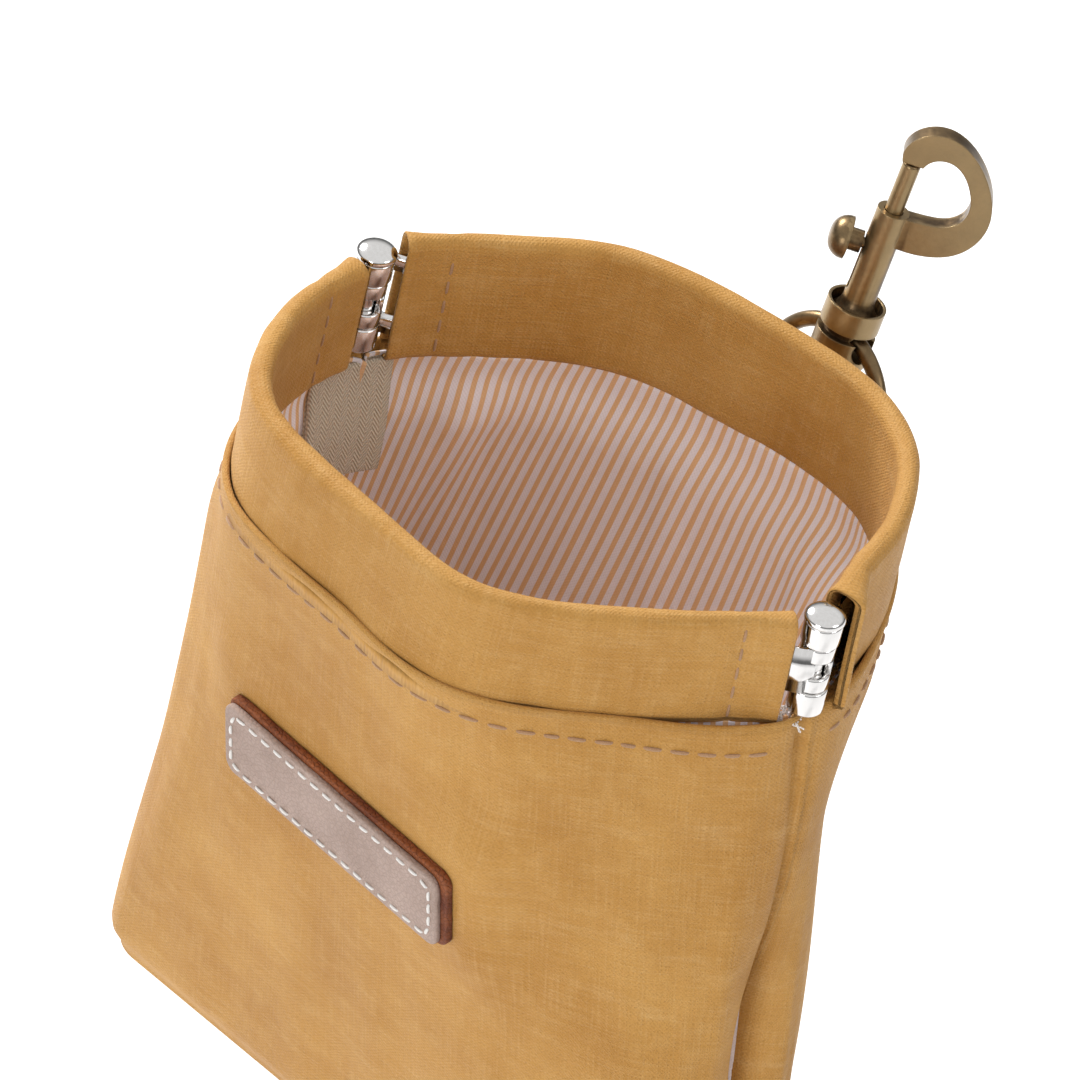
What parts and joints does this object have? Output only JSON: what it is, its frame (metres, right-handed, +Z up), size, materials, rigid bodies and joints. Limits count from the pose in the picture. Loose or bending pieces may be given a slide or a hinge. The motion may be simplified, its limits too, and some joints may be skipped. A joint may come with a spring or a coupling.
{
  "type": "treat pouch",
  "caption": "Small waxed-canvas treat pouch with a striped lining, a hinged spring-frame mouth, a plain leather patch and a brass swivel bolt snap hung from a ring.",
  "frame": {"origin": "middle of the snap's hook opening, where the pouch hangs from a belt loop or ring", "axes": "+Z up along the bag, +X from the left hinge to the right hinge seen from the front, +Y from the front panel to the back panel and the wearer"},
  "size_m": [0.1062, 0.0947, 0.1463],
  "materials": {
    "canvas": "waxed plain-weave cotton canvas, golden tan, soft sheen at folds",
    "lining": "fine cotton with narrow woven tan and white stripes",
    "thread": "matt sewing thread, tan with a pink cast",
    "label_thread": "matt off-white sewing thread",
    "webbing": "cream herringbone cotton tape",
    "nickel": "polished nickel plate on spring steel",
    "saddle_leather": "orange-brown leather with dark cut edges",
    "pale_leather": "pale beige smooth leather, matt",
    "antique_brass": "antique brass, dark in the recesses and rubbed brighter on the edges",
    "spring_wire": "plain spring wire"
  },
  "bodies": {
    "pouch": {"front_panel": "canvas", "back_panel": "canvas", "front_casing": "canvas", "back_casing": "canvas", "front_lining": "lining", "back_lining": "lining", "front_spring_strip": "nickel", "back_spring_strip": "nickel", "front_topstitch": "thread", "back_topstitch": "thread", "casing_end_stitches": "thread", "label_base": "saddle_leather", "label_face": "pale_leather", "label_stitching": "label_thread", "inner_webbing_tab": "webbing"},
    "left_hinge": {"left_hinge_pin": "nickel"},
    "right_hinge": {"right_hinge_pin": "nickel"},
    "back_tab": {"ring_tab": "canvas", "ring_tab_stitching": "thread"},
    "ring": {"ring": "antique_brass"},
    "swivel_eye": {"swivel_eye": "antique_brass"},
    "snap": {"snap_body": "antique_brass", "bolt_spring": "spring_wire"},
    "bolt": {"snap_bolt": "antique_brass", "bolt_knob": "antique_brass"}
  },
  "joints": [
    {"name": "mouth_close", "type": "slide", "parent": "pouch", "child": "back_tab", "axis": [0, -1, 0], "range_m": [0, 0.032], "deforming": ["front_panel", "back_panel", "front_casing", "back_casing", "front_lining", "back_lining", "front_spring_strip", "back_spring_strip", "front_topstitch", "back_topstitch", "casing_end_stitches", "label_base", "label_face", "label_stitching", "inner_webbing_tab"]},
    {"name": "left_hinge_turn", "type": "hinge", "parent": "pouch", "child": "left_hinge", "pos_m": [-0.04686, -0.0516, -0.02844], "axis": [0, 0, 1], "range_deg": [-60.5, 0]},
    {"name": "right_hinge_turn", "type": "hinge", "parent": "pouch", "child": "right_hinge", "pos_m": [0.03634, -0.0516, -0.02844], "axis": [0, 0, 1], "range_deg": [0, 60.5]},
    {"name": "ring_tilt", "type": "hinge", "parent": "back_tab", "child": "ring", "pos_m": [-0.00406, -0.0124, -0.04194], "axis": [1, 0, 0], "range_deg": [-165, 8]},
    {"name": "eye_tilt", "type": "hinge", "parent": "ring", "child": "swivel_eye", "pos_m": [-0.00406, -0.00839, -0.02306], "axis": [1, 0, 0], "range_deg": [-60, 60]},
    {"name": "snap_swivel", "type": "hinge", "parent": "swivel_eye", "child": "snap", "pos_m": [-0.00406, -0.00839, -0.02306], "axis": [0, 0.2079, 0.9781], "continuous": true},
    {"name": "bolt_slide", "type": "slide", "parent": "snap", "child": "bolt", "axis": [0, -0.2079, -0.9781], "range_m": [0, 0.006], "stiffness_N_per_m": 150, "springref_m": -0.003, "deforming": ["bolt_spring"]}
  ],
  "couplings": [
    {"joint": "left_hinge_turn", "follows": "mouth_close", "rad_per_m": -32.725},
    {"joint": "right_hinge_turn", "follows": "mouth_close", "rad_per_m": 32.725}
  ]
}
